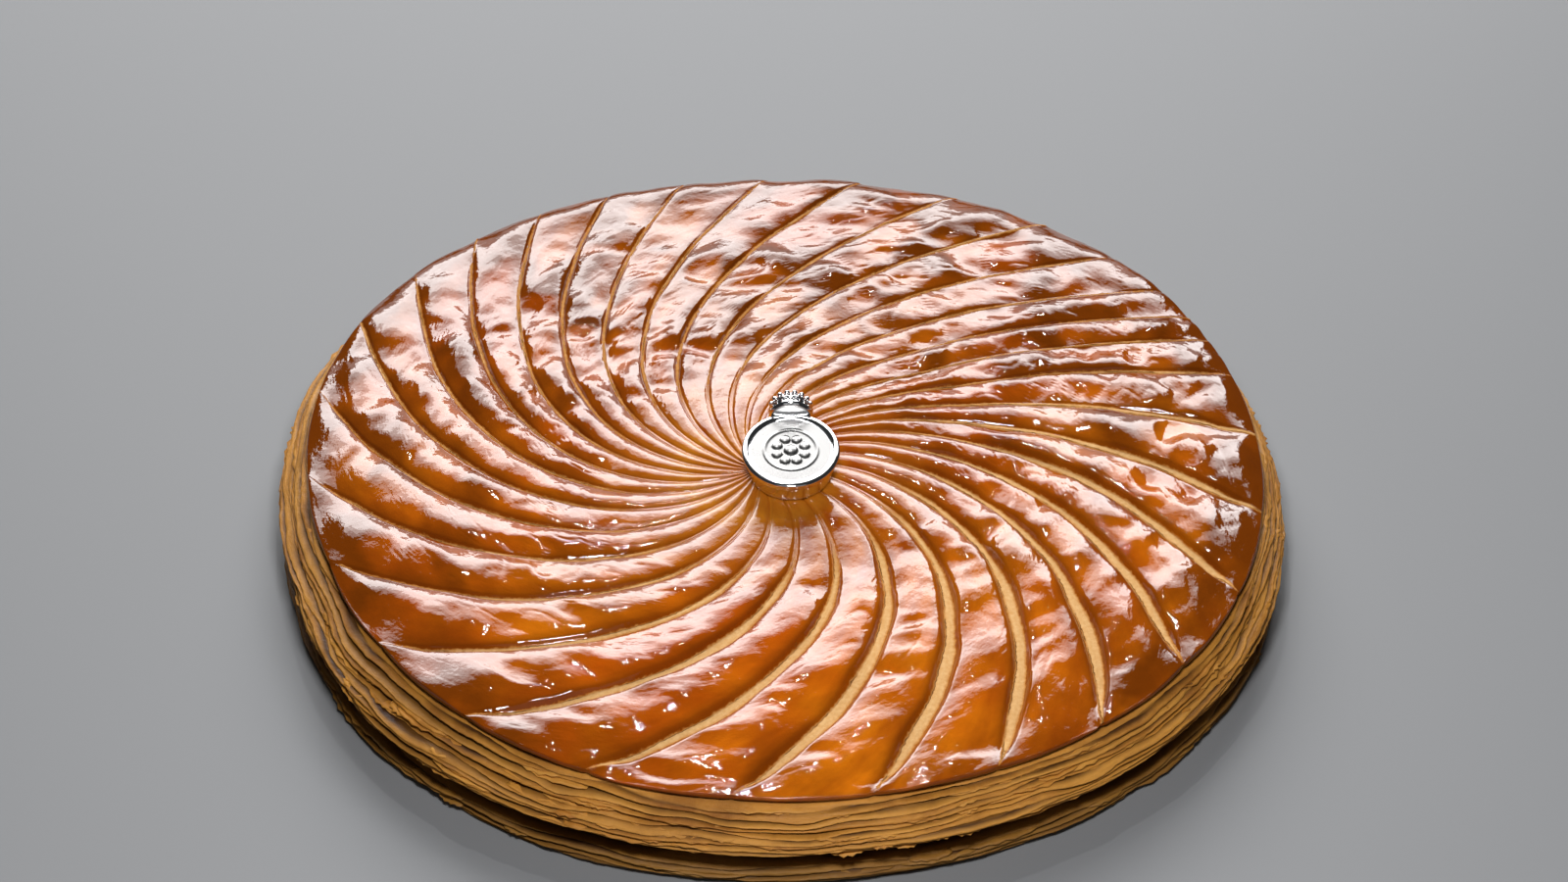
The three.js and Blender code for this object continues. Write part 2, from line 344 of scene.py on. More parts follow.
def openness(angle):
    """How far the side's layers have sprung open, from 0 to 1."""
    from_open = (angle - math.radians(OPEN_LAYERS_ANGLE) + np.pi) % (2 * np.pi) - np.pi
    return np.exp(-((from_open / math.radians(OPEN_LAYERS_SPREAD)) ** 2))


def flange_width(angle):
    lean = FLANGE_LEAN * np.cos(angle - math.radians(FLANGE_LEAN_ANGLE))
    return FLANGE_WIDTH + lean + OPEN_LAYERS_WIDTH * openness(angle)


def swirl_angle(turn, distance):
    """Direction from the eye of a line through the swirl; turn runs from 0 to 1 over all cuts."""
    around = 2 * np.pi * turn
    spaced = FIRST_CUT_ANGLE - 360 * turn
    for count, size, phase in SPACING_WAVES:
        spaced = spaced + size * np.cos(count * around + math.radians(phase))
    reach = (distance - TWIST_RADIUS) / TWIST_RADIUS
    first, second, third = TWIST_TERMS
    turned = first * reach + second * reach**2 + third * reach**3
    from_straight = turn % 1 - STRAIGHT_PLACE
    straight = STRAIGHT_SHARE * np.exp(-((from_straight / STRAIGHT_WIDTH) ** 2))
    inner_share = np.where(reach < 0, STRAIGHT_INNER_SHARE, 1)
    sway = TWIST_WAVE * reach * np.cos(around + math.radians(TWIST_WAVE_PHASE))
    return np.radians(spaced + turned * (1 - straight * inner_share) + sway)


def swirl_point(turn, distance):
    angle = swirl_angle(turn, distance)
    return EYE_X + distance * np.cos(angle), EYE_Y + distance * np.sin(angle)


def reach_of_turn(turn):
    """Distance from the eye at which each swirl line meets the lid's outline."""
    distance = np.full_like(turn, LID_RADIUS)
    for _ in range(20):
        x, y = swirl_point(turn, distance)
        distance = distance + lid_radius(np.arctan2(y, x)) - np.hypot(x, y)
    return distance


def cut_spacing(turn, distance):
    """Room between neighbouring cuts, measured square to them."""
    step = 1e-4
    x, y = swirl_point(turn, distance)
    turn_x, turn_y = swirl_point(turn + step, distance)
    out_x, out_y = swirl_point(turn, distance + step)
    out_length = np.hypot(out_x - x, out_y - y)
    area = np.abs((turn_x - x) * (out_y - y) - (turn_y - y) * (out_x - x))
    return area / out_length / (step * CUT_COUNT)


def column_turns():
    """Columns of the grid, closer together at the cuts."""
    even = np.arange(COLUMNS_PER_CUT) / COLUMNS_PER_CUT
    places = even - COLUMN_CROWDING * np.sin(2 * np.pi * even) / (2 * np.pi)
    return ((np.arange(CUT_COUNT)[:, None] + places[None, :]) / CUT_COUNT).ravel()


def lid_shares():
    inner = np.linspace(0, INNER_SHARE, INNER_ROWS, endpoint=False)
    outer = np.linspace(INNER_SHARE, EDGE_SHARE, OUTER_ROWS, endpoint=False)
    edge = np.linspace(EDGE_SHARE, 1, EDGE_ROWS)
    return np.concatenate([inner, outer, edge])


class Lid:
    """The lid's rows, from the eye to its outline, with what its heights and colours need."""

    def __init__(self, turns):
        self.reach = reach_of_turn(turns)[None, :]
        self.turn = turns[None, :]
        shares = lid_shares()[:, None]
        self.distance = EYE_START + (self.reach - EYE_START) * shares
        self.x, self.y = swirl_point(self.turn, self.distance)
        self.spacing = cut_spacing(self.turn, self.distance)
        self.cut = np.floor(self.turn * CUT_COUNT + 1e-6)
        self.place = self.turn * CUT_COUNT - self.cut
        self.to_edge = self.reach - self.distance
        self.angle = np.arctan2(self.y, self.x)
        self.facing_front = 0.5 - 0.5 * self.y / np.maximum(np.hypot(self.x, self.y), 1)
        facing = np.cos(self.angle - math.radians(GAPING_ANGLE))
        self.gaping = smoothstep(facing, -0.1, 0.9) * smoothstep(self.distance, 15, 70)
        self.measure_cuts()
        self.heights()

    def floor_half_width(self, cut):
        """Half the width of a cut's floor, uneven along it and tapering to its outer end."""
        widest = lerp(FLOOR_HALF_NARROW, FLOOR_HALF_GAPING, self.gaping)
        uneven = 1 + FLOOR_UNEVENNESS * noise_field(self.distance / FLOOR_LENGTH, cut * 3.7, 0.5)
        taper = np.clip(self.to_edge / FLOOR_TAPER_LENGTH, 0, 1) ** 0.7
        return np.minimum(widest, FLOOR_HALF_SHARE * self.spacing) * uneven * taper

    def wander(self, cut):
        """Sideways wobble of a cut's middle line."""
        return WANDER_SHARE * self.spacing * noise_field(self.distance / WANDER_LENGTH, cut * 5.1, 7.5)

    def measure_cuts(self):
        next_cut = (self.cut + 1) % CUT_COUNT
        left = self.place * self.spacing - self.wander(self.cut)
        right = (1 - self.place) * self.spacing + self.wander(next_cut)
        left_floor = self.floor_half_width(self.cut)
        right_floor = self.floor_half_width(next_cut)
        self.across = (self.place - 0.5) * self.spacing
        past_left = left - left_floor
        past_right = right - right_floor
        near_left = past_left < past_right
        self.past_floor = np.minimum(past_left, past_right)
        self.floor_half = np.where(near_left, left_floor, right_floor)
        self.from_cut = np.where(near_left, np.abs(left), np.abs(right))
        self.side = np.where(near_left, 1.0, 0.0)
        half_ridge = 0.5 * (self.spacing - left_floor - right_floor)
        pillow = 1 - (1 - np.clip(self.past_floor / half_ridge, 0, 1)) ** PILLOW_ROUNDNESS
        shoulder_width = lerp(SHOULDER_NARROW, SHOULDER_GAPING, self.gaping)
        shoulder_width = np.minimum(shoulder_width, 0.5 * half_ridge)
        shoulder = 1 - (1 - np.clip(self.past_floor / shoulder_width, 0, 1)) ** SHOULDER_ROUNDNESS
        shoulder_share = lerp(SHOULDER_SHARE_NARROW, SHOULDER_SHARE_GAPING, self.gaping)
        self.rise = lerp(pillow, shoulder, shoulder_share)

    def relief(self):
        """Puffs, crosswise folds and dimples of the baked ridges, in millimetres."""
        facing_back = 1 - self.facing_front
        strength = smoothstep(self.distance, RELIEF_FROM, RELIEF_FULL) * self.rise
        strength = strength * lerp(1, BACK_RELIEF, facing_back**2)
        ridge = self.cut * 4.7
        bends = noise_field(self.x / BEND_LENGTH, self.y / BEND_LENGTH, 3.3)
        skewed = self.distance + FOLD_SKEW * self.across + BEND_SIZE * bends
        puffs = noise_field(self.x / PUFF_LENGTH, self.y / PUFF_LENGTH, ridge)
        folds = noise_field(skewed / FOLD_LENGTH, self.across / FOLD_WIDTH, ridge)
        ripples = noise_field(skewed / RIPPLE_LENGTH, self.across / RIPPLE_WIDTH, ridge + 9)
        hollow_places = noise_field(skewed / HOLLOW_LENGTH, self.across / HOLLOW_WIDTH, ridge + 20)
        hollows = smoothstep(hollow_places, 0.12, 0.6)
        crease_line = noise_field(skewed / CREASE_LENGTH, self.across / CREASE_REACH, ridge + 31)
        creases = 1 - smoothstep(np.abs(crease_line), 0, CREASE_WIDTH)
        quiet = 1 - lerp(0.2, 0.6, facing_back) * smoothstep(-self.to_edge, -16, -4)
        patchy = 0.8 + 0.8 * noise_field(self.x / PATCH_LENGTH, self.y / PATCH_LENGTH, 31.5)
        folded = FOLD_SIZE * folds + RIPPLE_SIZE * ripples - CREASE_DEPTH * creases
        leaning = noise_field(self.x / LEAN_LENGTH, self.y / LEAN_LENGTH, ridge + 43)
        lean = LEAN_SIZE * leaning * (2 * self.place - 1)
        dents = DENT_SIZE * noise_field(self.x / DENT_LENGTH, self.y / DENT_LENGTH, ridge + 57)
        raised = smoothstep(puffs + 0.5 * folds - 0.6 * hollows, -0.35, 0.45)
        self.browning = self.browned(raised)
        uneven = folded + dents - HOLLOW_DEPTH * hollows
        return strength * (PUFF_SIZE * puffs + lean + quiet * patchy * uneven)

    def browned(self, raised):
        """How brown the glaze is baked: most on raised places, at the back and at the rim."""
        hotter = np.abs(np.cos((self.angle - math.radians(BROWNEST_ANGLE)) / 2))
        baked = lerp(FRONT_BROWNING, 1, hotter) * smoothstep(self.distance, 10, 80)
        sideways = np.abs(np.cos(self.angle))
        rim = RIM_BROWNING * smoothstep(-self.to_edge, -20, -2) * lerp(0.3, 1, sideways)
        return lerp(0.6, 1, np.sqrt(self.rise)) * (baked * (0.35 + 0.8 * raised) + rim)

    def droop(self):
        """The lid swells a little round its middle and falls gently towards its front and sides."""
        radius = np.hypot(self.x, self.y)
        swell = SWELL * smoothstep(radius, SWELL_FROM, DROOP_FROM)
        return self.facing_front * (DROOP * smoothstep(radius, DROOP_FROM, DROOP_TO) - swell)

    def heights(self):
        from_dome = np.hypot(self.x, self.y - DOME_CENTRE_Y) / DOME_RADIUS
        crest = LID_HEIGHT + DOME_HEIGHT * np.exp(-(from_dome**2))
        deepening = smoothstep(self.distance, 0, CUT_FULL_DEPTH_AT)
        ending = smoothstep(self.to_edge, 0, CUT_END_LENGTH)
        depth = CUT_DEPTH * lerp(CUT_INNER_DEPTH_SHARE, 1, deepening) * ending
        facing_left = np.cos(self.angle - math.radians(PUFFED_ANGLE))
        puffed = smoothstep(facing_left, -0.2, 0.9) * smoothstep(self.distance, 20, 90)
        depth = depth * lerp(lerp(SHALLOW_SHARE, PUFFED_SHARE, puffed), 1, self.gaping)
        edge_round = lerp(LID_EDGE_ROUND, FRONT_EDGE_ROUND, self.facing_front)
        edge = np.clip(1 - self.to_edge / edge_round, 0, 1)
        uneven = RIDGE_UNEVENNESS * unevenness(self.distance / 30, self.cut) * deepening * self.rise
        sharpness = lerp(LID_EDGE_SHARPNESS, FRONT_EDGE_SHARPNESS, self.facing_front)
        drop = LID_EDGE_DROP * edge**sharpness
        across_floor = np.clip(self.from_cut / np.maximum(self.floor_half, 1e-3), 0, 1)
        crown = FLOOR_CROWN * (1 - across_floor**2) * deepening * ending
        self.z = crest - depth * (1 - self.rise) - drop - self.droop() + uneven + crown + self.relief()


def lip_rows(lid):
    """Rows over the lip, a little drawn in where the cuts end, with an uneven lower edge."""
    angle = lid.angle[-1]
    notch = CUT_NOTCH * (1 - lid.rise[-1])
    uneven = LIP_UNEVENNESS * ring_noise(angle, 9, 12.5)
    rows = []
    for index, (out, height) in enumerate(LIP_ROWS):
        share = (index + 1) / len(LIP_ROWS)
        radius = lid_radius(angle) + out - notch * math.sin(math.pi * share)
        z = height + (lid.z[-1] - LID_HEIGHT + LID_EDGE_DROP) * (1 - share) + uneven * share
        rows.append((radius * np.cos(angle), radius * np.sin(angle), z))
    return rows


def layer_boundaries(angle, top, bottom, count, seed):
    """Heights between the layers of one bunch; the layers thin out and thicken along the side."""
    weights = []
    for layer in range(count):
        wide = ring_noise(angle, 4.5, seed + 2.3 * layer)
        small = ring_noise(angle, 13, seed + 40 + 1.9 * layer)
        sprung = GAPE_WEIGHT * openness(angle) if layer in GAPING_LAYERS else 0.0
        weights.append(np.maximum(0.25, 1 + sprung + LAYER_THICKNESS_UNEVENNESS * wide + 0.2 * small))
    sums = np.cumsum([np.zeros_like(angle)] + weights, axis=0)
    share = sums / sums[-1]
    sway = LAYER_SWAY * ring_noise(angle, 9, seed + 77)
    return top + (bottom - top) * share + sway * 4 * share * (1 - share)


def layer_gape(angle, layer, seed):
    """How far the stack gapes above one layer, from 0 to 1, mostly where it has sprung open."""
    sprung = 0.0
    if layer in GAPING_LAYERS:
        beside = openness(angle - math.radians(GAPE_BESIDE_ANGLE))
        sprung = openness(angle) + GAPE_BESIDE_SHARE * beside
    stray = ring_noise(angle, 5, seed + 150 + 3.1 * layer)
    return np.clip(sprung + 0.7 * smoothstep(stray, 0.2, 0.6), 0, 1)


def side_rows(angle, top, bottom, count, seed, recess):
    """Rows of one bunch of layers from its top down, with each row's painted shade from its depth in
    its crevice.
    """
    boundaries = layer_boundaries(angle, top, bottom, count, seed)
    flange = flange_width(angle)
    lean = 0.5 + 0.5 * np.cos(angle - math.radians(FLANGE_LEAN_ANGLE))
    rows = []
    for layer in range(count):
        upper = boundaries[layer]
        lower = boundaries[layer + 1]
        gape = layer_gape(angle, layer, seed)
        crevice = CREVICE_DEPTH + GAPE_DEPTH * gape
        wide = ring_noise(angle, 5, seed + 60 + 1.7 * layer)
        small = ring_noise(angle, 16, seed + 80 + 1.3 * layer)
        ragged = ring_noise(angle, 75, seed + 90 + 1.1 * layer)
        reach = LAYER_REACH_UNEVENNESS * (1.6 * wide + 0.5 * small) + 0.2 * ragged - recess
        parted = ring_noise(angle, 11, seed + 0.73 * layer)
        strength = np.clip(0.75 + 0.9 * parted + gape, 0.3, 1.25)
        for share, depth in LAYER_SECTION:
            lowered = share if share == 0 else lerp(share, lerp(GAPE_SHARE, 1, share), gape)
            height = lerp(upper, lower, lowered)
            out = np.interp(height, SIDE_HEIGHTS, SIDE_OUTS)
            gap = GAP_SHARE * np.interp(height, SIDE_HEIGHTS, SIDE_GAPS) * lean
            radius = lid_radius(angle) + (out - gap) * flange + reach - crevice * strength * depth
            shade = GAP_SHADE if recess > 0 else 0.0
            # Painted shade: darker deeper in the crevice, in the recessed gap and where the layers have
            # sprung open.
            painted_shade = np.clip(depth * strength + shade + 0.3 * openness(angle), 0, 1)
            rows.append((radius, height, painted_shade, np.full_like(angle, seed + layer)))
    return rows


def galette_grid():
    """All rows of the galette with their attributes, and the row numbers at which pieces meet."""
    lid = Lid(column_turns())
    angle = lid.angle[-1]
    zero = np.zeros_like(angle)
    rows = list(zip(lid.x, lid.y, lid.z))
    pale = list(smoothstep(lid.distance, PALE_FROM, PALE_FULL))
    past = list(lid.past_floor)
    side = list(lid.side)
    browning = list(lid.browning)
    across = list(lid.across)
    along = list(lid.distance)
    for row in lip_rows(lid):
        rows.append(row)
        pale.append(zero)
        past.append(lid.past_floor[-1])
        side.append(lid.side[-1])
        browning.append(lid.browning[-1])
        across.append(lid.across[-1])
        along.append(lid.distance[-1] + (LID_HEIGHT - row[2]))
    lid_end = len(rows) - 1
    # Painted shade of each row of the side, kept as the crevice attribute
    depth = [zero] * len(rows)
    tone = [zero] * len(rows)
    wave = BUNCH_WAVE * ring_noise(angle, 4, 5.5)
    bunches = [
        (zero + UPPER_TOP, UPPER_BOTTOM + wave, UPPER_LAYERS, UPPER_SEED, 0.0),
        (UPPER_BOTTOM + wave, GAP_BOTTOM + wave, GAP_LAYERS, GAP_SEED, GAP_RECESS),
        (GAP_BOTTOM + wave, zero + LOWER_BOTTOM, LOWER_LAYERS, LOWER_SEED, 0.0),
    ]
    bunch_starts = []
    for bunch in bunches:
        bunch_starts.append(len(rows))
        for radius, height, deep, layer in side_rows(angle, *bunch):
            rows.append((radius * np.cos(angle), radius * np.sin(angle), height))
            depth.append(deep)
            tone.append(layer)
    base_radius = lid_radius(angle) + SIDE_OUTS[0] * flange_width(angle)
    for share in BASE_SHARES:
        radius = share * base_radius
        height = BASE_EDGE_HEIGHT if share == BASE_SHARES[0] else 0.0
        rows.append((radius * np.cos(angle), radius * np.sin(angle), zero + height))
        depth.append(zero + BASE_SHADE)
        tone.append(zero + BASE_TONE)
    for values in (pale, past, side, browning, across, along):
        values.extend([zero] * (len(rows) - len(values)))
    points = np.array([np.stack(row, axis=-1) for row in rows])
    cut_number = np.broadcast_to(lid.cut, (len(rows), len(angle)))
    swirl = np.stack([np.array(along), np.array(across), 37.0 * cut_number], axis=-1)
    values = {
        "cut": np.stack([np.array(past) * MM, np.array(side), np.array(pale)], axis=-1),
        "browning": np.array(browning),
        "crevice": np.array(depth),
        "layer": np.array(tone),
        "swirl": swirl * MM,
    }
    return points, values, (INNER_ROWS, lid_end, bunch_starts[1])


def grid_normals(points):
    """Normals of a grid whose rows close on themselves, pointing out of the galette."""
    along_row = np.roll(points, -1, axis=1) - np.roll(points, 1, axis=1)
    outwards = np.gradient(points, axis=0)
    normals = np.cross(along_row, outwards)
    return normals / np.maximum(np.linalg.norm(normals, axis=2, keepdims=True), 1e-12)


def mesh_object(name, points, faces, material, normals=None):
    """A smooth-shaded object from points in millimetres."""
    mesh = bpy.data.meshes.new(name)
    mesh.from_pydata((np.asarray(points) * MM).tolist(), [], faces)
    mesh.polygons.foreach_set("use_smooth", [True] * len(mesh.polygons))
    if normals is not None:
        mesh.normals_split_custom_set_from_vertices(normals.tolist())
    mesh.materials.append(material)
    made = bpy.data.objects.new(name, mesh)
    bpy.context.collection.objects.link(made)
    return made


def add_attribute(piece, name, values):
    if values.ndim == 2:
        attribute = piece.data.attributes.new(name, "FLOAT_VECTOR", "POINT")
        attribute.data.foreach_set("vector", values.astype(np.float32).ravel())
    else:
        attribute = piece.data.attributes.new(name, "FLOAT", "POINT")
        attribute.data.foreach_set("value", values.astype(np.float32))


def grid_piece(name, grid, first, last, material, close_start=None, close_end=None):
    """One piece of the galette, rows first to last, closed with a fan to a point where one is given."""
    points, values, normals = grid
    count = points.shape[1]
    rows = last - first + 1
    index = np.arange(rows * count).reshape(rows, count)
    after = np.roll(index, -1, axis=1)
    quads = np.stack([index[:-1], after[:-1], after[1:], index[1:]], axis=-1)
    faces = quads.reshape(-1, 4).tolist()
    flat_points = points[first : last + 1].reshape(-1, 3)
    flat_normals = normals[first : last + 1].reshape(-1, 3)
    for end, ring, down in ((close_start, 0, False), (close_end, -1, True)):
        if end is None:
            continue
        middle = len(flat_points)
        ring_pair = (index[ring], after[ring]) if down else (after[ring], index[ring])
        faces.extend([[middle, int(a), int(b)] for a, b in zip(*ring_pair)])
        flat_points = np.vstack([flat_points, [end]])
        flat_normals = np.vstack([flat_normals, [(0, 0, -1) if down else (0, 0, 1)]])
    piece = mesh_object(name, flat_points, faces, material, flat_normals)
    for key, array in values.items():
        used = array[first : last + 1].reshape(rows * count, *array.shape[2:])
        while len(used) < len(flat_points):
            used = np.concatenate([used, used[-1:]])
        add_attribute(piece, key, used)
    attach(piece, "root")
    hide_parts("galette")


def flake(angle, height, length, reach, curl):
    """One thin flake of pastry rooted in the side: a curved sheet that narrows towards both ends."""
    along = np.linspace(-0.5, 0.5, FLAKE_STEPS)[:, None]
    out = np.linspace(0, 1, FLAKE_ACROSS)[None, :]
    turned = angle + along * length / LID_RADIUS
    width = np.sqrt(np.cos(np.pi * along * 0.98))
    ragged = 1 + 0.25 * np.sin(23 * along + 40 * angle) * out
    side = lid_radius(turned) + np.interp(height, SIDE_HEIGHTS, SIDE_OUTS) * flange_width(turned)
    radius = side - FLAKE_ROOT + out * (0.6 * FLAKE_ROOT + (0.4 * FLAKE_ROOT + reach) * width * ragged)
    z = height + curl * out**2 * width + 0.15 * np.sin(9 * along + 31 * angle)
    sheet = np.stack(np.broadcast_arrays(radius * np.cos(turned), radius * np.sin(turned), z), axis=-1)
    layers = [sheet.reshape(-1, 3) + (0, 0, sign * FLAKE_THICKNESS / 2) for sign in (1, -1)]
    count = FLAKE_STEPS * FLAKE_ACROSS
    index = np.arange(count).reshape(FLAKE_STEPS, FLAKE_ACROSS)
    corners = [index[:-1, :-1], index[:-1, 1:], index[1:, 1:], index[1:, :-1]]
    quads = np.stack(corners, axis=-1).reshape(-1, 4)
    loop = [*index[:-1, 0], *index[-1, :-1], *index[:0:-1, -1], *index[0, :0:-1]]
    border = [[a, b, b + count, a + count] for a, b in zip(loop, loop[1:] + loop[:1])]
    top = quads.tolist()
    underside = (quads[:, ::-1] + count).tolist()
    rim = [[int(i) for i in quad] for quad in border]
    return np.concatenate(layers), top + underside + rim


def build_flakes(crust):
    """Loose flakes that stick out of the side between its layers."""
    chance = np.random.default_rng(FLAKE_SEED)
    parts = []
    tones = []
    for number in range(FLAKE_COUNT):
        low, high = FLAKE_HEIGHTS[0 if number % 5 else 1]
        part = flake(
            chance.uniform(0, 2 * np.pi),
            chance.uniform(low, high),
            chance.uniform(5, 20),
            chance.uniform(-0.2, 0.6),
            chance.uniform(-0.4, 0.25),
        )
        parts.append(part)
        tones.append(np.full(len(part[0]), FLAKE_TONE + number))
    points, faces = joined(parts)
    piece = mesh_object("side_flakes", points, faces, crust)
    add_attribute(piece, "layer", np.concatenate(tones))
    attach(piece, "root")
    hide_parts("galette")


def build_galette(glaze, crust):
    points, values, (inner_end, lid_end, gap_start) = galette_grid()
    grid = (points, values, grid_normals(points))
    last = len(points) - 1
    eye = (EYE_X, EYE_Y, float(points[0, :, 2].mean()))
    grid_piece("lid_inner", grid, 0, inner_end, glaze, close_start=eye)
    grid_piece("lid_outer", grid, inner_end, lid_end, glaze)
    grid_piece("side_upper", grid, lid_end, gap_start, crust)
    grid_piece("side_lower", grid, gap_start, last, crust, close_end=(0, 0, 0))


# Materials


def new_material(name):
    material = bpy.data.materials.new(name)
    material.use_nodes = True
    tree = material.node_tree
    shader = tree.nodes["Principled BSDF"]
    return material, tree, shader


def set_input(tree, socket, value):
    if isinstance(value, bpy.types.NodeSocket):
        tree.links.new(value, socket)
    else:
        socket.default_value = value


def attribute(tree, name):
    made = tree.nodes.new("ShaderNodeAttribute")
    made.attribute_name = name
    return made


def texture_noise(tree, vector, scale, detail=3.0, roughness=0.5):
    made = tree.nodes.new("ShaderNodeTexNoise")
    tree.links.new(vector, made.inputs["Vector"])
    made.inputs["Scale"].default_value = scale
    made.inputs["Detail"].default_value = detail
    made.inputs["Roughness"].default_value = roughness
    return made.outputs["Fac"]


def scaled(tree, vector, scale):
    made = tree.nodes.new("ShaderNodeMapping")
    tree.links.new(vector, made.inputs["Vector"])
    made.inputs["Scale"].default_value = scale
    return made.outputs["Vector"]


def separated(tree, vector):
    """The X, Y and Z outputs of a vector."""
    made = tree.nodes.new("ShaderNodeSeparateXYZ")
    tree.links.new(vector, made.inputs["Vector"])
    return made.outputs["X"], made.outputs["Y"], made.outputs["Z"]


def remap(tree, value, low, high, to_low=0.0, to_high=1.0):
    made = tree.nodes.new("ShaderNodeMapRange")
    tree.links.new(value, made.inputs["Value"])
    made.inputs["From Min"].default_value = low
    made.inputs["From Max"].default_value = high
    made.inputs["To Min"].default_value = to_low
    made.inputs["To Max"].default_value = to_high
    return made.outputs["Result"]


def calculate(tree, operation, first, second):
    made = tree.nodes.new("ShaderNodeMath")
    made.operation = operation
    set_input(tree, made.inputs[0], first)
    set_input(tree, made.inputs[1], second)
    return made.outputs["Value"]


def mix(tree, share, first, second):
    made = tree.nodes.new("ShaderNodeMix")
    made.data_type = "RGBA"
    set_input(tree, made.inputs[0], share)
    set_input(tree, made.inputs[6], first)
    set_input(tree, made.inputs[7], second)
    return made.outputs[2]


def bump(tree, height, distance, under=None):
    """A bump by a distance in metres, over another one where it is given."""
    made = tree.nodes.new("ShaderNodeBump")
    tree.links.new(height, made.inputs["Height"])
    made.inputs["Distance"].default_value = distance
    made.inputs["Strength"].default_value = 1.0
    if under is not None:
        tree.links.new(under, made.inputs["Normal"])
    return made.outputs["Normal"]


def cut_masks(tree, place):
    """Masks of a cut's bare floor, its golden border, a painted shadow line along it, and pooled glaze
    with painted shade beside it.
    """
    past, side, share = separated(tree, attribute(tree, "cut").outputs["Vector"])
    rough = texture_noise(tree, place, 700, detail=3, roughness=0.6)
    edge = calculate(tree, "ADD", past, remap(tree, rough, 0.25, 0.75, -0.00025, 0.00025))
    floor = calculate(tree, "MULTIPLY", remap(tree, edge, -0.0001, 0.00015, 1.0, 0.0), share)
    border = remap(tree, edge, -0.0007, 0.0)
    # Painted shadow: a thin dark line just off one side of the floor, broken along its length, for the
    # shadow under the ridge's edge.
    off_line = calculate(tree, "ABSOLUTE", calculate(tree, "ADD", edge, 0.00035), 0.0)
    line = calculate(tree, "MULTIPLY", remap(tree, off_line, 0.00005, 0.00018, 0.9, 0.0), side)
    broken = remap(tree, texture_noise(tree, place, 150, detail=2), 0.42, 0.55)
    crevice_shadow = calculate(tree, "MULTIPLY", line, broken)
    # Partly pooled glaze and partly painted shade: the glaze darkens within about 3 mm of the cut's
    # floor.
    beside = calculate(tree, "MULTIPLY", remap(tree, edge, 0.0003, 0.0032, 0.55, 0.0), share)
    return floor, border, crevice_shadow, beside


def glaze_material():
    """Egg-wash glaze: amber in the hollows, browner on the crests, and bare pale pastry in the cuts;
    painted shade by the cuts.
    """
    material, tree, shader = new_material("glaze")
    place = tree.nodes.new("ShaderNodeTexCoord").outputs["Object"]
    swirl = attribute(tree, "swirl").outputs["Vector"]
    patches = texture_noise(tree, place, 60, detail=5, roughness=0.6)
    streaks = texture_noise(tree, scaled(tree, swirl, (70, 160, 1)), 1.0, detail=4)
    floor, border, crevice_shadow, beside = cut_masks(tree, place)
    mottled = remap(tree, patches, 0.3, 0.7, -0.25, 0.25)
    baked = calculate(tree, "ADD", attribute(tree, "browning").outputs["Fac"], mottled)
    tones = texture_noise(tree, place, 26, detail=3)
    orange = mix(tree, remap(tree, tones, 0.4, 0.65), DEEP_ORANGE, ORANGE)
    along = separated(tree, swirl)[0]
    golden = mix(tree, remap(tree, along, 0.018, 0.05, 0.75, 0.0), orange, GOLDEN_MIDDLE)
    amber = mix(tree, remap(tree, streaks, 0.35, 0.75), golden, AMBER_STREAK)
    pooled_and_shaded = mix(tree, beside, amber, POOLED_GLAZE_AND_SHADE)
    browned = mix(tree, baked, pooled_and_shaded, BROWNED_GLAZE)
    crumbs = texture_noise(tree, place, 900, detail=3, roughness=0.6)
    biscuit = mix(tree, remap(tree, crumbs, 0.2, 0.8), BISCUIT, PALE_BISCUIT)
    bordered = mix(tree, border, biscuit, CUT_BORDER)
    crevice_shadowed = mix(tree, crevice_shadow, bordered, CREVICE_SHADOW_BROWN)
    pale = mix(tree, floor, browned, crevice_shadowed)
    tree.links.new(pale, shader.inputs["Base Color"])
    tree.links.new(remap(tree, floor, 0, 1, 0.4, 0.6), shader.inputs["Roughness"])
    shader.inputs["Specular IOR Level"].default_value = 0.0
    tree.links.new(remap(tree, floor, 0, 0.6, 1.0, 0.0), shader.inputs["Coat Weight"])
    shader.inputs["Coat Roughness"].default_value = 0.03
    shader.inputs["Coat IOR"].default_value = 1.5
    wrinkles = texture_noise(tree, scaled(tree, swirl, (480, 260, 1)), 1.0, detail=4, roughness=0.6)
    pits = texture_noise(tree, place, 520, detail=2, roughness=0.5)
    smooth = bump(tree, pits, 0.00008, bump(tree, wrinkles, 0.00008))
    grain = texture_noise(tree, place, 2200, detail=2)
    tree.links.new(bump(tree, grain, 0.00003, smooth), shader.inputs["Normal"])
    tree.links.new(smooth, shader.inputs["Coat Normal"])
    return material


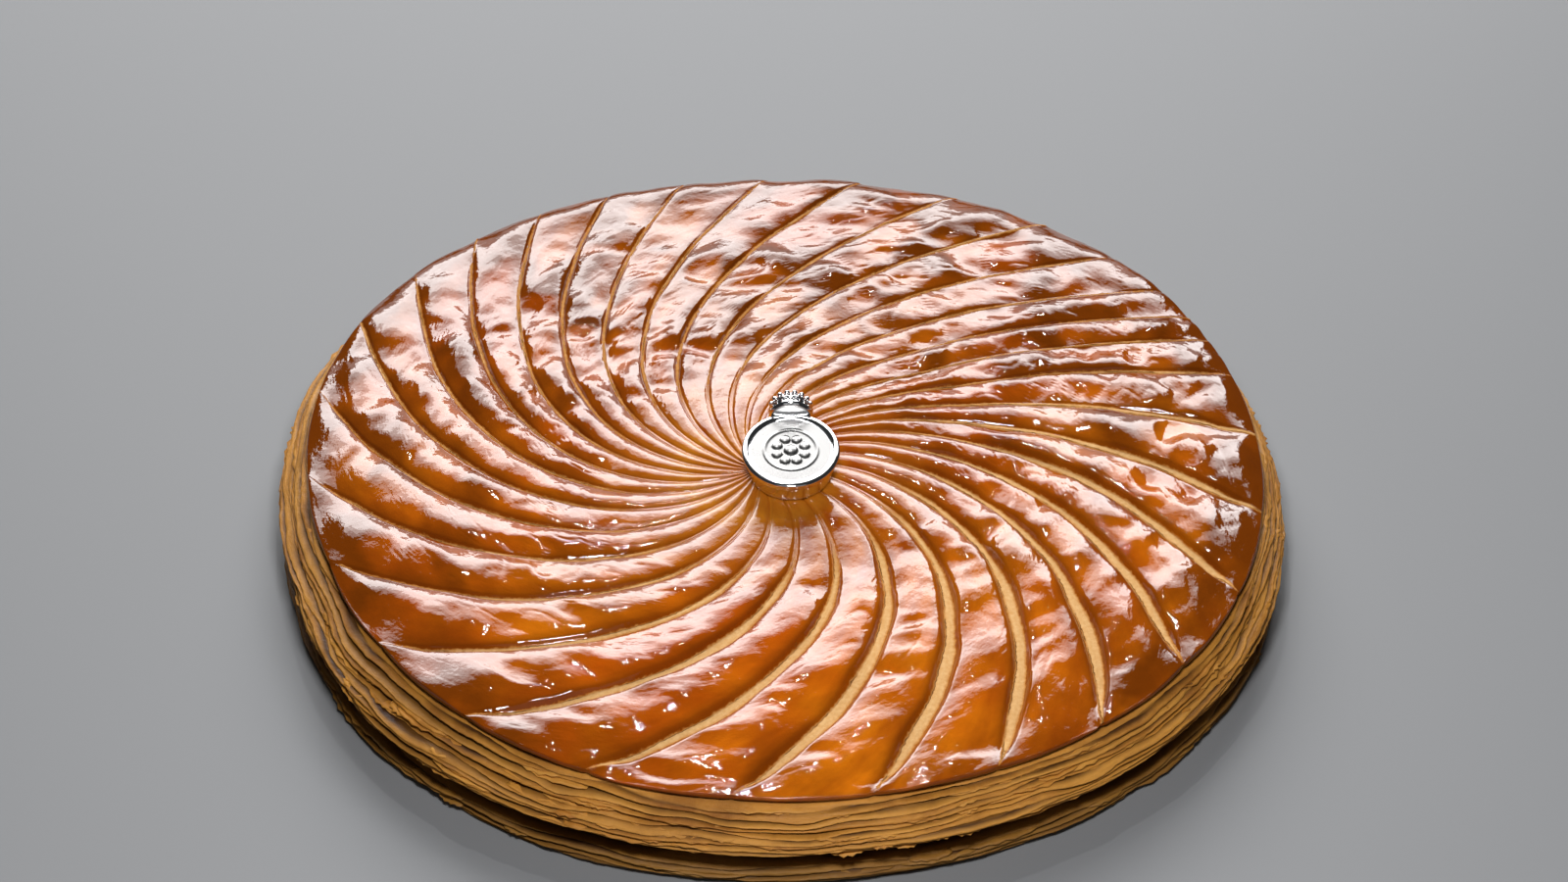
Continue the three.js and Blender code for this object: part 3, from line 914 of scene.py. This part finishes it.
def crust_material():
    """Flaky baked side: golden layer edges with fine strands, and painted shade: brown in the crevices,
    duller low down.
    """
    material, tree, shader = new_material("crust")
    place = tree.nodes.new("ShaderNodeTexCoord").outputs["Object"]
    crevice = attribute(tree, "crevice").outputs["Fac"]
    layer = attribute(tree, "layer").outputs["Fac"]
    strands = texture_noise(tree, scaled(tree, place, (260, 260, 2400)), 1.0, detail=5, roughness=0.65)
    patches = texture_noise(tree, place, 70, detail=5, roughness=0.6)
    tones = tree.nodes.new("ShaderNodeTexWhiteNoise")
    tones.noise_dimensions = "1D"
    tree.links.new(layer, tones.inputs["W"])
    stranded = remap(tree, strands, 0.2, 0.8)
    golden = mix(tree, stranded, CRUST_BROWN, CRUST_GOLDEN)
    varied = mix(tree, remap(tree, patches, 0.45, 0.72), golden, CRUST_BAKED)
    toned = mix(tree, remap(tree, tones.outputs["Value"], 0, 1, 0.0, 0.5), varied, CRUST_PALE)
    height = separated(tree, place)[2]
    # Painted shade: the side darkens below 8 mm, most at 4 mm and lower.
    shaded_low = mix(tree, remap(tree, height, 0.004, 0.008, 0.7, 0.0), toned, CRUST_LOW_SHADE)
    # Painted shade: rows deep in their crevices, in the recessed gap and where the layers spring open
    # turn dark brown.
    shaded = mix(tree, remap(tree, crevice, 0.05, 1.0), shaded_low, CREVICE_SHADE_BROWN)
    shader.inputs["Specular IOR Level"].default_value = 0.28
    tree.links.new(shaded, shader.inputs["Base Color"])
    tree.links.new(remap(tree, patches, 0.3, 0.7, 0.42, 0.6), shader.inputs["Roughness"])
    crumbs = texture_noise(tree, place, 900, detail=5, roughness=0.65)
    bumps = bump(tree, crumbs, 0.0002, bump(tree, strands, 0.00028))
    tree.links.new(bumps, shader.inputs["Normal"])
    return material


def silver_material():
    """Polished silver plate with faint cloudiness and fine scratches."""
    material, tree, shader = new_material("silver")
    place = tree.nodes.new("ShaderNodeTexCoord").outputs["Object"]
    clouds = texture_noise(tree, place, 160, detail=4)
    satin = attribute(tree, "satin").outputs["Fac"]
    tint = mix(tree, clouds, SILVER, BRIGHT_SILVER)
    tree.links.new(mix(tree, satin, tint, SATIN_SILVER), shader.inputs["Base Color"])
    shader.inputs["Metallic"].default_value = 1.0
    polish = remap(tree, clouds, 0.3, 0.7, 0.05, 0.11)
    duller = remap(tree, satin, 0, 1, 0, 0.2)
    tree.links.new(calculate(tree, "ADD", polish, duller), shader.inputs["Roughness"])
    scratches = texture_noise(tree, scaled(tree, place, (900, 5000, 900)), 1.0, detail=3)
    tree.links.new(bump(tree, scratches, 0.000004), shader.inputs["Normal"])
    return material


# Charm


def lathe(profile, sides):
    """A turned surface round the Z axis from (radius, height) pairs, closed at both ends."""
    angles = np.linspace(0, 2 * np.pi, sides, endpoint=False)
    rings = [(r * np.cos(angles), r * np.sin(angles), np.full(sides, h)) for r, h in profile]
    points = np.concatenate([np.stack(ring, axis=-1) for ring in rings])
    faces = []
    for row in range(len(rings) - 1):
        low, high = row * sides, (row + 1) * sides
        for side in range(sides):
            after = (side + 1) % sides
            faces.append([low + side, low + after, high + after, high + side])
    bottom = len(points)
    top = bottom + 1
    points = np.vstack([points, [(0, 0, profile[0][1])], [(0, 0, profile[-1][1])]])
    last = (len(rings) - 1) * sides
    faces.extend([[bottom, (side + 1) % sides, side] for side in range(sides)])
    faces.extend([[top, last + side, last + (side + 1) % sides] for side in range(sides)])
    return points, faces


def smooth_profile(corners, steps=4):
    """Catmull-Rom curve through (radius, height) pairs."""
    padded = np.array([corners[0], *corners, corners[-1]], dtype=float)
    made = []
    for index in range(1, len(padded) - 2):
        before, start, end, after = padded[index - 1 : index + 3]
        for step in range(steps):
            t = step / steps
            curved = 2 * start + (end - before) * t + (2 * before - 5 * start + 4 * end - after) * t * t
            made.append(tuple((curved + (3 * start - before - 3 * end + after) * t**3) / 2))
    made.append(tuple(padded[-1]))
    return made


def ball(centre, radius, sides):
    rings = sides // 2
    heights = [-math.cos(math.pi * (row + 0.5) / rings) for row in range(rings)]
    profile = [(radius * math.sqrt(1 - h * h), radius * h) for h in heights]
    points, faces = lathe(profile, sides)
    return points + np.array(centre), faces


def tube(path, radii, sides):
    """A round bar along a path of points, with a radius for each."""
    path = np.array(path, dtype=float)
    tangents = np.gradient(path, axis=0)
    tangents /= np.linalg.norm(tangents, axis=1, keepdims=True)
    points = []
    for centre, tangent, radius in zip(path, tangents, radii):
        helper = np.array([0, 1, 0]) if abs(tangent[1]) < 0.9 else np.array([1, 0, 0])
        side = np.cross(tangent, helper)
        side /= np.linalg.norm(side)
        up = np.cross(tangent, side)
        for step in range(sides):
            a = 2 * math.pi * step / sides
            points.append(centre + radius * (math.cos(a) * side + math.sin(a) * up))
    faces = []
    for row in range(len(path) - 1):
        low, high = row * sides, (row + 1) * sides
        for step in range(sides):
            after = (step + 1) % sides
            faces.append([low + step, low + after, high + after, high + step])
    faces.append(list(range(sides))[::-1])
    faces.append([(len(path) - 1) * sides + step for step in range(sides)])
    return np.array(points), faces


def joined(parts):
    points = []
    faces = []
    start = 0
    for part_points, part_faces in parts:
        points.append(part_points)
        faces.extend([[index + start for index in face] for face in part_faces])
        start += len(part_points)
    return np.concatenate(points), faces


def medal_profile():
    """From the foot up the bowl-shaped body, over the round rim and onto the field."""
    body = [
        (MEDAL_FOOT_RADIUS - 0.9, 0.0),
        (MEDAL_FOOT_RADIUS - 0.15, 0.08),
        (MEDAL_FOOT_RADIUS + 0.1, 0.4),
        (MEDAL_FOOT_RADIUS + 0.05, 0.8),
        (MEDAL_FOOT_RADIUS + 0.45, 1.9),
        (MEDAL_RADIUS - 1.0, 3.4),
        (MEDAL_RADIUS - 0.7, 4.6),
        (MEDAL_RADIUS - 0.75, 5.4),
    ]
    top = MEDAL_THICKNESS
    rim = [
        (MEDAL_RADIUS - 0.3, top - 1.25),
        (MEDAL_RADIUS - 0.02, top - 0.8),
        (MEDAL_RADIUS - 0.1, top - 0.35),
        (MEDAL_RADIUS - 0.4, top - 0.08),
        (MEDAL_RADIUS - 0.8, top),
        (MEDAL_RADIUS - 1.2, top - 0.01),
        (MEDAL_RADIUS - 1.45, top - 0.08),
        (MEDAL_RADIUS - 1.6, top - 0.22),
    ]
    inside = MEDAL_RADIUS - 1.75
    field_edge = [(inside, FIELD_HEIGHT), (inside - 0.4, FIELD_HEIGHT - FIELD_DISH)]
    return smooth_profile(body + rim + field_edge)


def round_top(square_reach):
    """Height of a round top from 0 to 1, from the square of how far out of its middle a point lies."""
    return np.sqrt(np.clip(1 - square_reach, 0, 1))


def rosette_height(radius, angle):
    """A button with a circle of round petals about it and a raised ring, on the field."""
    sector = 2 * math.pi / PETAL_COUNT
    from_middle = (angle % sector) - sector / 2
    across = radius * np.sin(from_middle)
    outwards = radius * np.cos(from_middle) - PETAL_REACH
    petals = PETAL_HEIGHT * round_top((across**2 + outwards**2) / PETAL_RADIUS**2)
    button = BUTTON_HEIGHT * round_top((radius / BUTTON_RADIUS) ** 2)
    ring = RING_HEIGHT * round_top(((radius - RING_RADIUS) / RING_HALF_WIDTH) ** 2)
    return petals + button + ring


def medal_part():
    """The medallion's points and faces, and which points lie on its satin field."""
    profile = medal_profile()
    edge = profile[-1][0]
    field = [(edge * (1 - (row + 1) / FIELD_ROWS), 0.0) for row in range(FIELD_ROWS - 1)]
    points, faces = lathe(profile + field, MEDAL_SIDES)
    radius = np.hypot(points[:, 0], points[:, 1])
    angle = np.arctan2(points[:, 1], points[:, 0])
    field_start = len(profile) * MEDAL_SIDES
    on_field = np.zeros(len(points), dtype=bool)
    on_field[field_start : field_start + len(field) * MEDAL_SIDES] = True
    on_field[-1] = True
    raised = FIELD_HEIGHT - FIELD_DISH + rosette_height(radius, angle)
    points[:, 2] = np.where(on_field, raised, points[:, 2])
    points[:, 1] *= MEDAL_LENGTH_SCALE
    return points, faces, on_field.astype(float)


def crown_parts():
    """A small open crown that lies on its side, its base against the medallion's back edge."""
    start = MEDAL_RADIUS * MEDAL_LENGTH_SCALE - 1.2
    band_profile = smooth_profile(
        [
            (0.8, 0.25),
            (CROWN_RADIUS - 1.2, 0.1),
            (CROWN_RADIUS - 0.5, 0.3),
            (CROWN_RADIUS - 0.1, 0.8),
            (CROWN_RADIUS - 0.25, 1.2),
            (CROWN_RADIUS - 0.55, 1.35),
            (CROWN_RADIUS - 0.55, 2.3),
            (CROWN_RADIUS - 0.2, 2.45),
            (CROWN_RADIUS - 0.1, 2.8),
            (CROWN_RADIUS - 0.4, 3.15),
            (CROWN_RADIUS - 1.0, 3.2),
            (CROWN_RADIUS - 1.2, 2.6),
            (CROWN_RADIUS - 1.3, 1.6),
            (0.8, 1.5),
        ]
    )
    parts = [lathe(band_profile, CROWN_SIDES)]
    reach = CROWN_RADIUS - 0.55
    for step in range(BEAD_COUNT):
        a = 2 * math.pi * step / BEAD_COUNT
        parts.append(ball((reach * math.cos(a), reach * math.sin(a), 1.83), BEAD_RADIUS, 10))
    for step in range(POINT_COUNT):
        parts.extend(crown_point(2 * math.pi * (step + 0.5) / POINT_COUNT))
    parts.append(ball((0, 0, CROWN_LENGTH - 1.1), 1.0, 16))
    points, faces = joined(parts)
    turned = np.stack([points[:, 0], points[:, 2] + start, CROWN_RADIUS - points[:, 1]], axis=-1)
    return turned, faces, np.zeros(len(points))


def crown_point(a):
    """One arch of the crown with its pearl, and the small leaf beside it."""
    direction = np.array([math.cos(a), math.sin(a), 0.0])
    up = np.array([0.0, 0.0, 1.0])
    arch = []
    for share in np.linspace(0, 1, ARCH_STEPS):
        bend = share * math.pi / 2
        reach = (CROWN_RADIUS - 0.8) * math.cos(bend) ** 0.6 + 0.5 * share
        arch.append(direction * reach + up * lerp(3.0, CROWN_LENGTH - 1.2, math.sin(bend)))
    pearl = direction * (CROWN_RADIUS - PEARL_RADIUS - 0.1) + up * 4.5
    stem_foot = direction * (CROWN_RADIUS - 0.6) + up * 2.9
    half = math.pi / POINT_COUNT
    beside = np.array([math.cos(a + half), math.sin(a + half), 0.0])
    leaf = beside * (CROWN_RADIUS - 0.5) + up * 3.5
    return [
        tube(arch, np.linspace(0.32, 0.22, ARCH_STEPS), 8),
        tube([stem_foot, (stem_foot + pearl) / 2, pearl], [0.5, 0.3, 0.35], 8),
        ball(pearl, PEARL_RADIUS, 16),
        ball(leaf, LEAF_RADIUS, 12),
    ]


def place_charm(points):
    """From the charm's own axes to the frame: leaning towards the front, on the lid."""
    tilt = math.radians(CHARM_TILT)
    lift = MEDAL_FOOT_RADIUS * MEDAL_LENGTH_SCALE * math.sin(tilt)
    x = points[:, 0] + CHARM_X
    y = points[:, 1] * math.cos(tilt) - points[:, 2] * math.sin(tilt) + CHARM_Y
    z = points[:, 1] * math.sin(tilt) + points[:, 2] * math.cos(tilt) + CHARM_REST_HEIGHT + lift
    return np.stack([x, y, z], axis=-1)


def build_charm(silver):
    for name, part in (("charm_medal", medal_part()), ("charm_crown", crown_parts())):
        points, faces, satin = part
        piece = mesh_object(name, place_charm(points), faces, silver)
        add_attribute(piece, "satin", satin)
        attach(piece, "root")
        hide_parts("charm")


# Stage, light and camera


def floor_material():
    material, tree, shader = new_material("studio_floor")
    place = tree.nodes.new("ShaderNodeTexCoord").outputs["Object"]
    soft = texture_noise(tree, place, 3, detail=2)
    tree.links.new(mix(tree, soft, FLOOR_GREY, LIGHT_FLOOR_GREY), shader.inputs["Base Color"])
    shader.inputs["Roughness"].default_value = 0.6
    return material


def build_floor():
    half = FLOOR_HALF_SIZE
    mesh = bpy.data.meshes.new("studio_floor")
    corners = [(-half, -half, 0), (half, -half, 0), (half, half, 0), (-half, half, 0)]
    mesh.from_pydata(corners, [], [[0, 1, 2, 3]])
    mesh.materials.append(floor_material())
    made = bpy.data.objects.new("studio_floor", mesh)
    bpy.context.collection.objects.link(made)


def area_light(name, azimuth, elevation, distance, width, height, power):
    """A rectangular softbox that faces the galette."""
    data = bpy.data.lights.new(name, "AREA")
    data.shape = "RECTANGLE"
    data.size = width
    data.size_y = height
    data.energy = power
    made = bpy.data.objects.new(name, data)
    a = math.radians(azimuth)
    e = math.radians(elevation)
    made.location = (
        distance * math.sin(a) * math.cos(e),
        distance * math.cos(a) * math.cos(e),
        distance * math.sin(e),
    )
    made.rotation_euler = (math.pi / 2 - e, 0, math.pi - a)
    bpy.context.collection.objects.link(made)


def build_lights():
    for name, numbers in SOFTBOXES.items():
        area_light(name, *numbers)
    world = bpy.data.worlds.new("studio")
    bpy.context.scene.world = world
    world.use_nodes = True
    background = world.node_tree.nodes["Background"]
    background.inputs["Color"].default_value = WORLD_COLOUR
    background.inputs["Strength"].default_value = WORLD_STRENGTH
    bpy.context.scene.view_settings.view_transform = "Standard"


def build_camera():
    data = bpy.data.cameras.new("camera")
    data.lens = CAMERA_LENS
    data.sensor_width = CAMERA_SENSOR
    made = bpy.data.objects.new("camera", data)
    elevation = math.radians(CAMERA_ELEVATION)
    back = CAMERA_DISTANCE * math.cos(elevation)
    made.location = (0, CAMERA_TARGET_Y - back, CAMERA_DISTANCE * math.sin(elevation))
    made.rotation_euler = (math.pi / 2 - elevation, 0, 0)
    bpy.context.collection.objects.link(made)
    bpy.context.scene.camera = made


crust = crust_material()
build_galette(glaze_material(), crust)
build_flakes(crust)
build_charm(silver_material())
build_floor()
build_lights()
build_camera()
